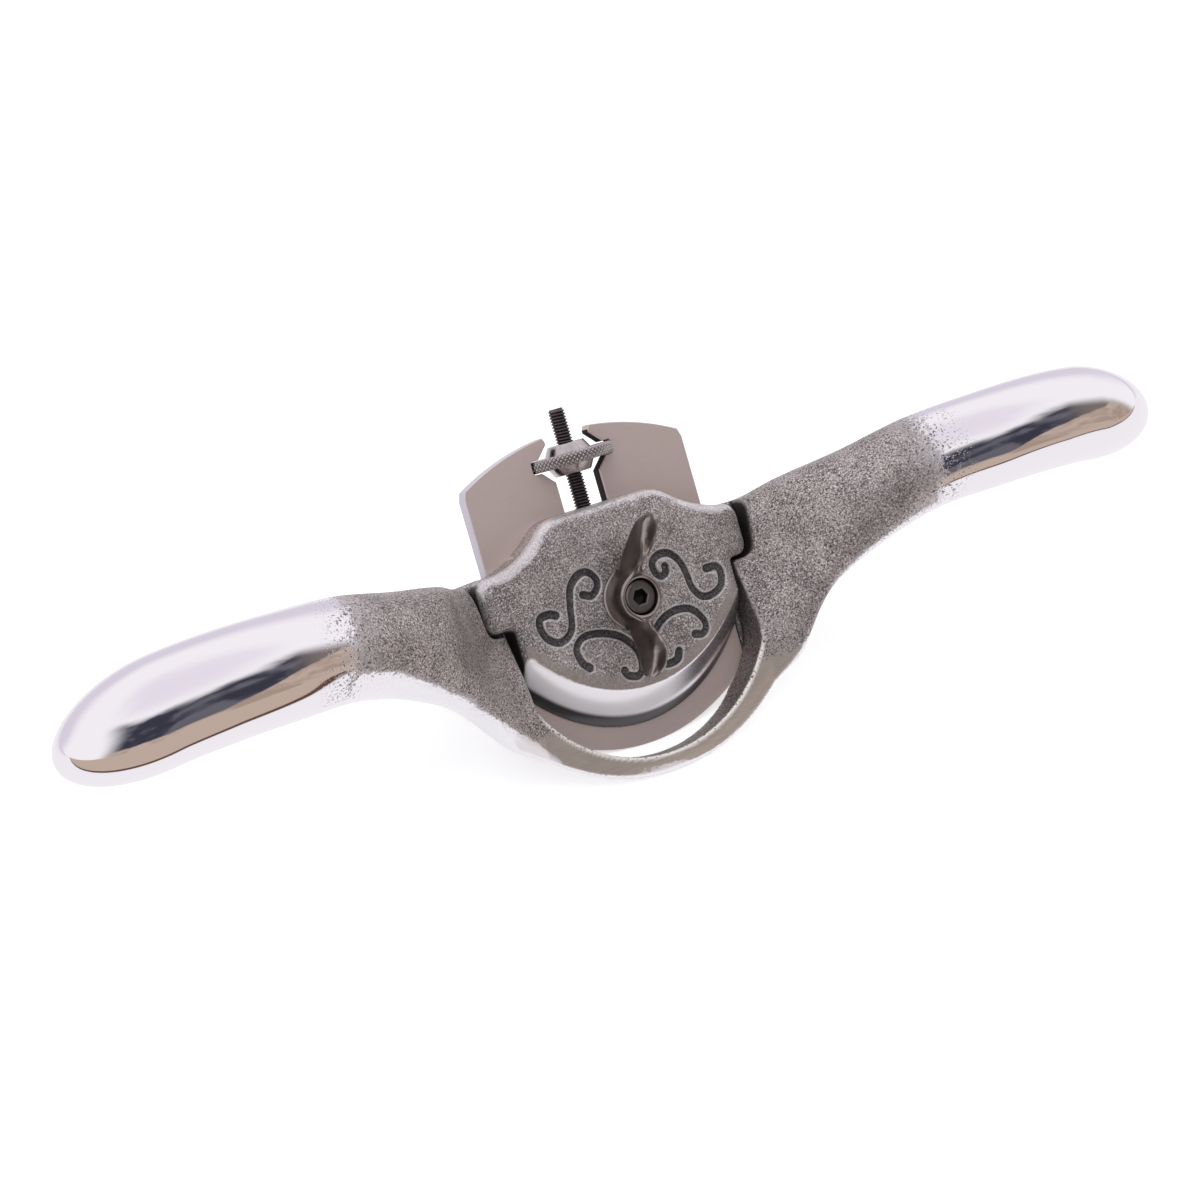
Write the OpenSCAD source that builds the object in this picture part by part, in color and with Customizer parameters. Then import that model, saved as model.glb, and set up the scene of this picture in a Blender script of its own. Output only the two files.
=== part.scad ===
// Half-round spokeshave with a thread-adjusted iron and a screwed lever cap.
// X runs along the handles, -Y is the toe, Z is up.
// The origin is the middle of the cutting edge, level with the lowest line of the sole.
// Bed coordinates: X across, Y up the bed from the cutting edge, Z out of the iron's face.

/* [Overall] */
// Length over both handles
overall_length = 263; // [245:1:290]
// Radius of the half-round sole
sole_radius = 58; // [56:0.5:62]
// Angle between the bed and the sole
bed_angle = 45; // [43:0.5:47]

/* [Casting] */
// Length of the bed from the cutting edge to the top of the casting
bed_length = 44; // [42:0.5:46]
// Depth of the casting behind the face of the iron
back_depth = 12; // [10:0.5:13]
// Height of the cheeks above the face of the iron
cheek_height = 9.8; // [8.5:0.1:11]
// Reach of the toe in front of the cutting edge
toe_reach = 12; // [11:0.5:13]
// Thickness of the toe
toe_thickness = 4.6; // [3.8:0.1:5.2]
// Radius of the toe seen from above
toe_plan_radius = 62; // [58:1:70]
// Depth of the bevel along the toe's lower edge
toe_bevel = 1.2; // [0.6:0.1:1.6]
// Radius of the throat, square to the bed
throat_radius = 32; // [31:0.5:33]
// Opening of the mouth, down the bed from the cutting edge
mouth_opening = 2.1; // [1.6:0.1:2.6]
// Widening of each tab's notch at the top of the casting
notch_flare = 1.4; // [0.8:0.1:2]

/* [Handles] */
// Radius of the grips
grip_radius = 10.8; // [10:0.1:12]
// Height of the grips' centre line, up the bed
grip_up = 41.2; // [40:0.5:43]
// Distance of the grips' centre line in front of the iron's face
grip_out = 26.5; // [24:0.5:28]
// Length of the rounded end of a grip
grip_end = 21; // [18:0.5:24]
// Droop of the grip's end, down the bed
grip_droop = 4; // [2:0.5:5]

/* [Iron] */
// Width of the iron
iron_width = 54; // [52:0.5:55.5]
// Thickness of the iron
iron_thickness = 3; // [2.4:0.1:3.4]
// Distance from the cutting edge to the iron's upper corners
iron_length = 61.8; // [60:0.2:64]
// Rise of the iron's arched top above its corners
iron_crown = 6.8; // [5:0.2:8]
// Angle of the ground bevel
bevel_angle = 33; // [28:1:38]
// Width of the slot in the iron
slot_width = 10.6; // [10:0.1:11.4]
// Distance from the cutting edge to the foot of the slot
slot_foot = 22; // [20:0.5:23]

/* [Adjuster] */
// Diameter of the threaded stud
stud_diameter = 3.6; // [3.2:0.2:4.2]
// Distance of the stud's top from the cutting edge
stud_top = 73.4; // [72.5:0.1:76]
// Diameter of the knurled disc
nut_diameter = 19.2; // [18:0.2:21]
// Thickness of the knurled disc
nut_thickness = 2.5; // [2:0.1:3.2]
// Diameter of the nut's cones where they meet the disc
nut_cone_diameter = 10; // [9:0.2:10.4]
// Diameter of the nut's cones at their ends
nut_end_diameter = 8; // [7:0.2:8.8]
// Height of each cone
nut_cone_height = 2; // [1.5:0.1:2.4]
// Distance of the nut from the iron's upper corners
nut_above_corners = 0.85; // [0.4:0.05:1.4]

/* [Lever cap] */
// Height of the cap above the iron
cap_height = 7.3; // [6.5:0.1:8]
// Distance of the cap's nose behind the cutting edge, level with the sole
cap_setback = 3; // [2.5:0.1:4]
// Radius of the cap's nose seen from above
cap_nose_radius = 42; // [40:0.5:44]
// Distance from the cutting edge to the cap's peak, up the bed
cap_peak = 52; // [51:0.2:53.5]
// Half width over the tabs
tab_half = 32.3; // [31.6:0.1:32.4]
// Distance from the cutting edge to the tabs' shoulder
tab_top = 43.8; // [43:0.2:45]
// Distance from the cutting edge to the underside of the tabs
tab_foot = 32.4; // [31.6:0.2:34]
// Half width of the cap below the tabs
cap_half = 26.8; // [26:0.1:27.2]
// Radius of the tabs' upper corners
tab_corner = 3.5; // [2:0.5:4]
// Radius of the hollow curve between peak and shoulder
hollow_radius = 24; // [22:0.5:27]
// Wall of the cap around its hollow underside
cap_wall = 5; // [4:0.2:6]
// Thickness of the cap's top plate
cap_plate = 3.4; // [2.6:0.1:4]
// Reach of the cap's hollow underside, down the bed from the clamp screw
hollow_reach = 12; // [8:0.5:13]

/* [Clamp] */
// Distance of the clamp screw from the cutting edge
clamp_up = 31.2; // [30.6:0.1:32]
// Diameter of the clamp spindle
spindle_diameter = 8; // [7.4:0.1:8.4]
// Depth of the spindle behind the iron's face
spindle_depth = 9.5; // [8:0.5:10]
// Diameter of the lever's hub at its rim
hub_diameter = 9.7; // [9.4:0.1:10.6]
// Diameter of the hub's foot on the cap
hub_foot_diameter = 13; // [11.6:0.2:14]
// Height of the hub above the cap
hub_height = 5.4; // [5.2:0.1:6.5]
// Depth of the hub's spigot inside the cap
spigot_depth = 2; // [1.5:0.1:2.4]
// Diameter of the counterbore in the hub
counterbore_diameter = 7.7; // [7.3:0.1:8]
// Diameter of the lock screw's head
screw_head_diameter = 7; // [6.4:0.1:7.2]
// Height of the lock screw's head
screw_head_height = 4; // [3:0.1:4.2]
// Diameter of the lock screw's shank
screw_diameter = 4; // [3:0.5:4.5]
// Width across the flats of its hexagon socket
socket_width = 3; // [2:0.5:3.5]
// Reach of each ear from the hub's axis
ear_reach = 16.3; // [14:0.1:17]
// Height of the ears' tips above the cap
ear_height = 11.5; // [9:0.5:12]
// Thickness of an ear
ear_thickness = 1.8; // [1.4:0.1:2.4]
// Radius that bends an ear sideways
ear_bend = 30; // [24:1:40]

/* [Clearances] */
// Radial running clearance of a screw or nut
running = 0.05; // [0.03:0.01:0.1]
// Side clearance between the iron and its bed
iron_side = 0.3; // [0.2:0.05:0.4]
// Gap between the cap's sides and the cheeks
cheek_gap = 1.5; // [1:0.1:2]
// Gap between a tab's side and its notch
notch_side_gap = 0.7; // [0.5:0.1:1.2]
// Gap between a notch floor and the tab above it
notch_gap = 0.8; // [0.5:0.1:1.2]
// Gap around the nut's disc in the iron
nut_gap = 0.25; // [0.15:0.05:0.4]
// Clearance around the spindle and the hub's spigot in the cap
cap_hole_gap = 0.3; // [0.2:0.05:0.5]

/* [Hidden] */
$fn = 96;
far = 200;

half_length = overall_length / 2;
stud_radius = stud_diameter / 2;
stud_out = -iron_thickness / 2;
nut_up = iron_length + nut_above_corners;
spindle_radius = spindle_diameter / 2;
hub_base = cap_height;
hub_rim = hub_base + hub_height;
screw_seat = hub_rim - screw_head_height - 0.6;
boss_half = slot_width / 2 - 0.4;
boss_foot = clamp_up + spindle_radius + 1.6;
boss_cover = 1.2;
cheek_half = cap_half + cheek_gap;
notch_half = tab_half + notch_side_gap;
notch_floor = tab_foot - notch_gap;
top_radius = (pow(iron_width / 2, 2) + pow(iron_crown, 2)) / (2 * iron_crown);
bevel_radius = sole_radius * sin(bed_angle) / sin(bevel_angle);

// Stations of the casting from its middle to the rounded end of a grip:
// distance from the middle, centre up the bed, centre out from the iron's face,
// half height along the bed, half thickness, squareness of the section
block_low = -15;
block_up = (bed_length + block_low) / 2;
block_out = (cheek_height - back_depth) / 2;
block_half_height = (bed_length - block_low) / 2;
block_half_depth = (cheek_height + back_depth) / 2;
block_half = 28;
grip_run = half_length - grip_end - block_half;
stations = [
    [0, block_up, block_out, block_half_height, block_half_depth, 3],
    [block_half, block_up, block_out, block_half_height, block_half_depth, 3],
    [block_half + 0.10 * grip_run, 26, 2.2, 18, block_half_depth - 0.1, 2.9],
    [block_half + 0.18 * grip_run, 31.6, 8, 14.4, block_half_depth - 0.4, 2.6],
    [block_half + 0.33 * grip_run, 36, 15.2, grip_radius + 1.3, grip_radius, 2.2],
    [block_half + 0.51 * grip_run, grip_up - 1, grip_out - 5, grip_radius, grip_radius - 0.3, 2],
    [block_half + 0.69 * grip_run, grip_up, grip_out - 1, grip_radius - 0.1, grip_radius - 0.1, 2],
    [block_half + 0.86 * grip_run, grip_up, grip_out, grip_radius, grip_radius, 2],
    [half_length - grip_end, grip_up - grip_droop / 5, grip_out - 0.8, grip_radius, grip_radius, 2],
    [half_length, grip_up - grip_droop, grip_out - grip_droop, grip_radius, grip_radius, 2]
];

// Hermite curve through one column of the stations
function slope(k, c) = let (a = max(k - 1, 0), b = min(k + 1, len(stations) - 1))
    (stations[b][c] - stations[a][c]) / (stations[b][0] - stations[a][0]);
function span_of(x, k = 0) =
    k >= len(stations) - 2 || x < stations[k + 1][0] ? k : span_of(x, k + 1);
function along(x, c) =
    let (k = span_of(x), x0 = stations[k][0], w = stations[k + 1][0] - x0, t = (x - x0) / w)
    (2 * t * t * t - 3 * t * t + 1) * stations[k][c] + (3 * t * t - 2 * t * t * t) * stations[k + 1][c]
    + w * ((t * t * t - 2 * t * t + t) * slope(k, c) + (t * t * t - t * t) * slope(k + 1, c));
function station_at(x) = x <= block_half ? stations[0] : [for (c = [0:5]) along(x, c)];

// Shrinking factor of the rounded end: a quarter of an ellipse
function end_factor(x) = let (t = max(0, (x - half_length + grip_end) / grip_end)) sqrt(1 - t * t);

// One closed section across the casting at a distance x from the middle
ring_points = 28;
function signed_power(v, p) = sign(v) * pow(abs(v), p);
function section(x) =
    let (s = station_at(abs(x)), e = end_factor(abs(x)))
    [for (k = [0:ring_points - 1])
        let (a = 360 * k / ring_points,
             up = s[1] + e * s[3] * signed_power(cos(a), 2 / s[5]),
             out = s[2] + e * s[4] * signed_power(sin(a), 2 / s[5]))
        [x, up * cos(bed_angle) - out * sin(bed_angle), up * sin(bed_angle) + out * cos(bed_angle)]];

arm_rings = 20;
end_rings = 7;
toe_half = 0.66 * sole_radius;
ring_places = concat(
    [for (k = [0:arm_rings]) block_half + grip_run * k / arm_rings],
    [for (k = [1:end_rings]) half_length - grip_end + grip_end * sin(83 * k / end_rings)]);
all_places = concat([for (k = [len(ring_places) - 1:-1:0]) -ring_places[k]], ring_places);

module loft() {
    rings = len(all_places);
    tips = [for (s = [-1, 1]) let (p = stations[len(stations) - 1])
        [s * half_length, p[1] * cos(bed_angle) - p[2] * sin(bed_angle),
         p[1] * sin(bed_angle) + p[2] * cos(bed_angle)]];
    points = concat([for (x = all_places) each section(x)], tips);
    first_tip = rings * ring_points;
    function at(r, k) = r * ring_points + k % ring_points;
    polyhedron(points, concat(
        [for (r = [0:rings - 2], k = [0:ring_points - 1]) [at(r, k), at(r + 1, k), at(r + 1, k + 1)]],
        [for (r = [0:rings - 2], k = [0:ring_points - 1]) [at(r, k), at(r + 1, k + 1), at(r, k + 1)]],
        [for (k = [0:ring_points - 1]) [first_tip, at(0, k), at(0, k + 1)]],
        [for (k = [0:ring_points - 1]) [first_tip + 1, at(rings - 1, k + 1), at(rings - 1, k)]]));
}

module on_bed() {
    rotate([bed_angle, 0, 0]) children();
}

module sole_cylinder(radius, from_y, to_y) {
    translate([0, from_y, sole_radius]) rotate([-90, 0, 0]) cylinder(h = to_y - from_y, r = radius, $fn = 180);
}

// Angle round the sole at which its cylinder gives way to a tangent flat under each arm
sole_turn = 32;
arm_start = sole_radius * sin(sole_turn) + 26;

// The block and handles, trimmed to the sole and to the flats that carry it on under the arms
module trimmed_loft() {
    intersection() {
        loft();
        union() {
            sole_cylinder(sole_radius, -far / 2, far / 2);
            translate([0, 0, sole_radius]) for (turn = [-sole_turn, sole_turn]) rotate([0, -turn, 0])
                translate([turn > 0 ? 0 : -far, -far / 2, -sole_radius]) cube([far, far, far]);
            for (side = [-1, 1]) translate([side > 0 ? arm_start : -far, -far / 2, -far / 2])
                cube([far - arm_start, far, far]);
        }
    }
}

// The toe: a band that follows the sole, rounded off in plan and bevelled along its lower edge
module toe() {
    bevel_curve = 0.73 * sole_radius;
    bevel_start = toe_reach * cos(bed_angle) - toe_bevel;
    intersection() {
        difference() {
            sole_cylinder(sole_radius, -toe_reach - 1, toe_reach);
            sole_cylinder(sole_radius - toe_thickness, -toe_reach - 2, toe_reach + 1);
        }
        translate([0, toe_plan_radius - toe_reach, -1]) cylinder(h = sole_radius, r = toe_plan_radius, $fn = 180);
        on_bed() translate([0, bevel_curve - bevel_start, -far / 2]) cylinder(h = far, r = bevel_curve, $fn = 180);
        translate([-toe_half, -far / 2, -1]) cube([2 * toe_half, far, sole_radius / 2]);
    }
}

// What is cut away above the bed: the iron's channel, the throat and the notches for the cap's tabs
module bed_cut() {
    channel = iron_width / 2 + iron_side;
    on_bed() {
        translate([-channel, -20, -iron_thickness]) cube([2 * channel, far, iron_thickness + 0.4]);
        intersection() {
            union() {
                translate([0, throat_radius - mouth_opening, -iron_thickness])
                    cylinder(h = far, r = throat_radius, $fn = 180);
                translate([-cheek_half, throat_radius, -iron_thickness]) cube([2 * cheek_half, far, far]);
            }
            translate([-cheek_half, -20, 0]) cube([2 * cheek_half, far, far]);
        }
        translate([0, notch_floor, -0.4]) linear_extrude(far)
            polygon([[-notch_half, 0], [notch_half, 0],
                     [notch_half + 4 * notch_flare, 4 * (bed_length - notch_floor)],
                     [-notch_half - 4 * notch_flare, 4 * (bed_length - notch_floor)]]);
    }
}

module casting() {
    color("dimgray") difference() {
        union() {
            difference() {
                union() {
                    trimmed_loft();
                    toe();
                }
                bed_cut();
            }
            on_bed() translate([-boss_half, boss_foot, -iron_thickness - 1])
                cube([2 * boss_half, bed_length - boss_foot - 1, iron_thickness / 2 + 1 + stud_radius + boss_cover]);
        }
        on_bed() {
            translate([0, clamp_up, -back_depth - 5])
                cylinder(h = back_depth + 5, r = spindle_radius + running);
            translate([0, boss_foot + 1, stud_out]) rotate([-90, 0, 0])
                cylinder(h = bed_length, r = stud_radius + running);
        }
    }
}

module iron() {
    half = iron_width / 2;
    slit_half = nut_diameter / 2 + nut_gap;
    slit_low = nut_up - nut_thickness / 2 - nut_gap;
    slit_high = nut_up + nut_thickness / 2 + nut_gap;
    flare = nut_cone_height + 0.6;
    corner = slot_width / 2 + flare;
    color("rosybrown") on_bed() difference() {
        intersection() {
            translate([-half, -5, -iron_thickness]) cube([iron_width, iron_length + iron_crown + 5, iron_thickness]);
            translate([0, iron_length + iron_crown - top_radius, -iron_thickness - 1])
                cylinder(h = iron_thickness + 2, r = top_radius, $fn = 180);
            // The bevel is ground by a cylinder that meets the face in the cutting edge
            rotate([-bevel_angle, 0, 0]) translate([0, -20, bevel_radius]) rotate([-90, 0, 0])
                cylinder(h = far, r = bevel_radius, $fn = 180);
        }
        translate([0, 0, -iron_thickness - 1]) linear_extrude(iron_thickness + 2) {
            translate([0, slot_foot + slot_width / 2]) circle(r = slot_width / 2);
            translate([-slot_width / 2, slot_foot + slot_width / 2]) square([slot_width, far]);
            polygon([for (side = [1, -1]) each
                let (h = [[slot_width / 2, slit_low - flare], [corner, slit_low], [slit_half, slit_low],
                          [slit_half, slit_high], [corner, slit_high], [slot_width / 2, slit_high + flare]])
                [for (k = [0:5]) let (p = side > 0 ? h[k] : h[5 - k]) [side * p[0], p[1]]]]);
        }
    }
}

module adjuster_stud() {
    color("black") on_bed() translate([0, boss_foot + 1, stud_out]) rotate([-90, 0, 0])
        cylinder(h = stud_top - boss_foot - 1, r = stud_radius);
}

module adjuster_nut() {
    disc = nut_thickness / 2;
    color("silver") on_bed() translate([0, nut_up, stud_out]) rotate([-90, 0, 0]) difference() {
        union() {
            translate([0, 0, -disc]) cylinder(h = nut_thickness, d = nut_diameter);
            translate([0, 0, disc]) cylinder(h = nut_cone_height, d1 = nut_cone_diameter, d2 = nut_end_diameter);
            translate([0, 0, -disc - nut_cone_height])
                cylinder(h = nut_cone_height, d1 = nut_end_diameter, d2 = nut_cone_diameter);
        }
        translate([0, 0, -disc - nut_cone_height - 1])
            cylinder(h = nut_thickness + 2 * nut_cone_height + 2, r = stud_radius + running);
    }
}

// Upper outline of the cap: a peak between two hollow curves that end in the tabs
module cap_outline() {
    difference() {
        union() {
            translate([-cap_half, 0]) square([2 * cap_half, cap_peak]);
            translate([-tab_half, tab_foot]) square([2 * tab_half, cap_peak - tab_foot]);
        }
        for (side = [-1, 1]) {
            translate([side * tab_half, tab_top + hollow_radius]) circle(r = hollow_radius, $fn = 120);
            translate([side > 0 ? tab_half : -tab_half - 5, tab_foot - 1]) square([5, cap_peak]);
            translate([side * (tab_half - tab_corner), tab_top - tab_corner]) difference() {
                translate([side > 0 ? 0 : -tab_corner - 1, 0]) square(tab_corner + 1);
                circle(r = tab_corner);
            }
        }
    }
}

module lever_cap() {
    hollow = cap_height - cap_plate;
    color("gray") difference() {
        intersection() {
            on_bed() linear_extrude(cap_height) cap_outline();
            translate([0, cap_setback + cap_nose_radius, -far / 2])
                cylinder(h = far, r = cap_nose_radius, $fn = 180);
        }
        on_bed() {
            translate([-cap_half + cap_wall, clamp_up - hollow_reach, -1])
                cube([2 * (cap_half - cap_wall), tab_top + 2 - clamp_up + hollow_reach, hollow + 1]);
            translate([0, clamp_up, -1])
                cylinder(h = cap_height + 2, r = hub_diameter / 2 - 0.2 + cap_hole_gap);
            translate([-stud_radius - 0.6, tab_top, -1])
                cube([2 * stud_radius + 1.2, cap_peak - tab_top + 1, 1 + stud_out + stud_radius + 0.6]);
        }
    }
}

// One ear of the thumb lever: a bent fin whose side outline rises from the hub to its tip
module ear() {
    r = ear_reach;
    h = ear_height;
    foot = hub_foot_diameter / 2;
    intersection() {
        translate([ear_bend, 0, 0]) linear_extrude(h + 1) difference() {
            circle(r = ear_bend + ear_thickness / 2, $fn = 180);
            circle(r = ear_bend - ear_thickness / 2, $fn = 180);
        }
        translate([-r, 0, 0]) rotate([90, 0, 90]) linear_extrude(2 * r)
            polygon([[hub_diameter / 2 - 0.6, 0.3], [foot, 0.5], [0.65 * r, 0.2 * h], [0.8 * r, 0.33 * h],
                     [0.95 * r, 0.56 * h], [r, 0.76 * h], [0.97 * r, 0.92 * h], [0.9 * r, 0.985 * h],
                     [0.74 * r, h], [0.6 * r, 0.97 * h], [0.48 * r, 0.85 * h],
                     [0.38 * r, 0.62 * h], [hub_diameter / 2 - 0.6, hub_height - 0.4]]);
    }
}

module thumb_lever() {
    rim = hub_diameter / 2;
    color("saddlebrown") on_bed() translate([0, clamp_up, hub_base]) difference() {
        union() {
            cylinder(h = 0.8, d = hub_foot_diameter);
            translate([0, 0, 0.8]) cylinder(h = 1.6, d1 = hub_foot_diameter, d2 = hub_diameter);
            cylinder(h = hub_height, r = rim);
            translate([0, 0, -spigot_depth]) cylinder(h = spigot_depth + 1, r = rim - 0.2);
            for (turn = [0, 180]) rotate([0, 0, turn]) ear();
        }
        translate([0, 0, screw_seat - hub_base]) cylinder(h = far, d = counterbore_diameter);
        translate([0, 0, -spigot_depth - 1]) cylinder(h = far, r = screw_diameter / 2 + running);
    }
}

module clamp_spindle() {
    top = hub_base - spigot_depth;
    color("dimgray") on_bed() translate([0, clamp_up, 0]) difference() {
        translate([0, 0, -spindle_depth]) cylinder(h = spindle_depth + top, r = spindle_radius);
        translate([0, 0, -4]) cylinder(h = far, r = screw_diameter / 2 + running);
    }
}

module lock_screw() {
    color("black") on_bed() translate([0, clamp_up, screw_seat]) difference() {
        union() {
            cylinder(h = screw_head_height, d = screw_head_diameter);
            translate([0, 0, -3.5 - screw_seat]) cylinder(h = 4 + screw_seat, d = screw_diameter);
        }
        translate([0, 0, screw_head_height / 2]) cylinder(h = screw_head_height, d = socket_width / cos(30), $fn = 6);
    }
}

casting();
iron();
lever_cap();
thumb_lever();
clamp_spindle();
lock_screw();
adjuster_stud();
adjuster_nut();
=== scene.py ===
"""Finished surfaces, materials, light and camera for a half-round metal spokeshave.

Shapes are worked out in bed coordinates, in millimetres: x across, u up the bed from the cutting edge,
v out of the iron's face. The bed leans at 45 degrees, so a point of the object lies at
X = x, Y = (u - v) / sqrt 2, Z = (u + v) / sqrt 2.
"""
import math

import bpy
import numpy as np
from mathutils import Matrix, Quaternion, Vector


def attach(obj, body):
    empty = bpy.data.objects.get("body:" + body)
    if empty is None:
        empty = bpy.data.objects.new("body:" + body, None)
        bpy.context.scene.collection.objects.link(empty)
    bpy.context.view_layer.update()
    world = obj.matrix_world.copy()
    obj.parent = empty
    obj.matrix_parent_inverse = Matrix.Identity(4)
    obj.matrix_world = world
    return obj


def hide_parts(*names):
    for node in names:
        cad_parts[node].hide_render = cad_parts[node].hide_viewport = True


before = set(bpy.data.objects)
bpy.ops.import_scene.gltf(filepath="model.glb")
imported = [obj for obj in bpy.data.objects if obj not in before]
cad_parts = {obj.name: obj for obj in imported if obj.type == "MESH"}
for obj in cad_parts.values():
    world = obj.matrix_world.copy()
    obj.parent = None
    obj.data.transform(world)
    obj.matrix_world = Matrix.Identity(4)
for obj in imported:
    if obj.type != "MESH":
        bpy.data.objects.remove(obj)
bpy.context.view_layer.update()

MM = 0.001
LEAN = math.sqrt(0.5)

# Casting
SOLE_RADIUS = 58.0
SOLE_TURN = math.radians(32)
SOLE_RELEASE = 48.0
SOLE_EASE = 0.02
TOE_HALF = 38.3
TOE_TOP = 29.0
TOE_BACK = 12.0
TOE_PLAN_RADIUS = 60.0
TOE_PLAN_CENTRE = 50.0
FACE_HEIGHT = 8.3
SADDLE_HEIGHT = 4.0
SADDLE_FOOT = 30.5
SADDLE_RISE = 0.34
ARM_RISE, ARM_CURVE = 0.25, 0.045
GRIP_INSET = 0.08
HALF_LENGTH = 131.5
GRIP_END = 21.0
THROAT_RADIUS = 32.0
THROAT_FOOT = -2.1
CHEEK_HALF = 28.3
CHANNEL_HALF = 27.3
NOTCH_HALF = 33.0
NOTCH_FLOOR = 31.6
NOTCH_FLARE = 1.4 / 12.4
CHANNEL_TOP, SHELF_DEPTH = 0.4, 0.4
BORE_RADIUS = 4.05
BOSS_HALF, BOSS_LOW, BOSS_HIGH, BOSS_BACK, BOSS_FRONT = 4.9, 36.8, 43.0, -4.0, 1.5

# Where each grip's polish starts: how far out at GRIP_HEIGHT up the bed, and how that leans
GRIP_HEIGHT = 41.0
LEFT_GRIP, LEFT_LEAN = 72.2, -0.27
RIGHT_GRIP, RIGHT_LEAN = 67.7, 0.1

# Stations of the casting: distance from the middle, centre up the bed, centre out from the face,
# half height, half thickness, squareness of the section
STATIONS = np.array([
    (0, 14.5, -1.1, 29.5, 10.9, 3), (28, 14.5, -1.1, 29.5, 10.9, 3), (36.25, 26, 2.2, 18, 10.8, 2.9),
    (42.85, 32, 8, 14, 10.5, 2.6), (55.225, 36.7, 15.2, 11.4, 10.8, 2.2),
    (70.075, 40.4, 21.5, 10.6, 10.5, 2), (84.925, 41.2, 25.5, 10.7, 10.7, 2),
    (98.95, 41.2, 26.5, 10.8, 10.8, 2), (110.5, 40.4, 25.7, 10.8, 10.8, 2),
    (131.5, 37.2, 22.5, 10.8, 10.8, 2)])

# Upper edge of the polished strip along the casting's lower sides: distance out, place up the bed on
# the left, and how much lower it lies on the right
STRIP_OUT = (24.0, 26.3, 30.6, 34.7, 39.1, 46.0, 53.8, 63.5, 72.0)
STRIP_UP = (-2.0, 4.2, 9.2, 12.6, 16.5, 22.3, 27.8, 33.6, 36.0)
STRIP_DROP = 3.5

# Iron
IRON_HALF = 27.0
IRON_THICKNESS = 3.0
IRON_CORNER = 61.8
IRON_TOP_RADIUS = 57.0
IRON_TOP_CENTRE = 11.6
IRON_BEVEL = math.radians(33)
IRON_BEVEL_RADIUS = 75.3
SLOT_HALF = 5.3
SLOT_CENTRE = 27.3
SLIT_LOW, SLIT_HIGH, SLIT_HALF = 61.15, 64.15, 9.85
SLIT_CORNER, SLIT_FLARE, SLIT_BREAK = 7.9, 2.6, 0.4
NOTCH_MOUTH, SLOT_MIDDLE = 67.4, 45.0

# Lever cap
CAP_HEIGHT = 7.3
TAB_DROP, PEAK_DROP = 1.9, 0.7
CAP_HALF = 26.8
CAP_PEAK = 52.0
TAB_HALF = 32.3
TAB_FOOT = 32.4
TAB_TOP = 43.8
OGEE_RADIUS = 24.0
CAP_NOSE_RADIUS = 42.0
CAP_NOSE_CENTRE = 45.0
CAP_NOSE_CROWN = 0.026
CROWN_FOOT = 1.5
HOLLOW_HALF, HOLLOW_LOW, HOLLOW_HIGH, HOLLOW_DEPTH = 21.8, 19.2, 45.8, 3.9
CLAMP_HOLE_RADIUS = 4.95
STUD_WAY_HALF, STUD_WAY_DEPTH = 2.4, 0.9
GROOVE_DEPTH = 0.8

# Clamp and adjuster
CLAMP_UP = 31.2
HUB_RADIUS = 4.85
HUB_FOOT_RADIUS = 6.5
HUB_HEIGHT = 5.4
HUB_STEP, HUB_FLARE = 0.5, 2.2
SPIGOT_RADIUS, SPIGOT_DEPTH = 4.65, 1.95
COUNTERBORE_RADIUS = 3.85
LEVER_BORE_RADIUS = 2.05
EAR_BEND = 30.0
EAR_HALF = 0.9
SPINDLE_RADIUS, SPINDLE_PITCH, SPINDLE_THREAD = 4.0, 1.25, 0.55
SPINDLE_FOOT, SPINDLE_TOP = -9.5, 5.3
SHANK_RADIUS, SHANK_FOOT, SCREW_SEAT = 2.0, -3.5, 8.1
HEAD_RADIUS, HEAD_TOP = 3.5, 12.1
SOCKET_HALF, SOCKET_FLOOR = 1.5, 10.1
STUD_RADIUS, STUD_PITCH, STUD_THREAD = 1.8, 0.66, 0.38
STUD_OUT = -1.5
STUD_FOOT, STUD_TOP = 37.8, 73.4
NUT_UP, NUT_HALF, NUT_BORE = 62.65, 3.25, 1.85
CONE_TOP_RADIUS, CONE_FOOT_RADIUS = 4.0, 5.0
DISC_HALF, DISC_RADIUS, NUT_RADIUS = 1.25, 9.0, 9.6
KNURL_TEETH, KNURL_DEPTH = 60, 0.4


def from_bed(points):
    """Bed millimetres to the object's metres: X = x, Y = (u - v) / sqrt 2, Z = (u + v) / sqrt 2."""
    x, u, v = points.T
    return np.stack([x, LEAN * (u - v), LEAN * (u + v)], axis=1) * MM


def smooth_step(value, low, high):
    """0 below low, 1 above high, with the cubic 3t^2 - 2t^3 between them."""
    t = np.clip((value - low) / (high - low), 0, 1)
    return t * t * (3 - 2 * t)


def round_max(a, b, width):
    """The larger of two fields, its corner rounded: max + h^2 width / 4, with h = 1 - |a - b| / width."""
    h = np.maximum(1 - np.abs(a - b) / width, 0)
    return np.maximum(a, b) + h * h * width / 4


def round_min(a, b, width):
    """The smaller of two fields, its corner filled in the same way."""
    return -round_max(-a, -b, width)


def graded(places, spacing):
    """Grid lines from the first place to the last, with spacing that runs between the given values."""
    fine = np.linspace(places[0], places[-1], 4001)
    density = 1 / np.interp(fine, places, spacing)
    count = np.concatenate([[0], np.cumsum((density[1:] + density[:-1]) / 2)]) * (fine[1] - fine[0])
    return np.interp(np.linspace(0, count[-1], int(count[-1]) + 1), count, fine)


def gradient_of(field, points, step):
    """Central differences of a field along x, u and v, and the sum of its second differences."""
    here = field(*points.T)
    slope, bend = np.empty_like(points), np.zeros(len(points))
    for axis in range(3):
        move = np.zeros(3)
        move[axis] = step
        above, below = field(*(points + move).T), field(*(points - move).T)
        slope[:, axis] = (above - below) / (2 * step)
        bend += (above + below - 2 * here) / step ** 2
    return here, slope, bend


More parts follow.
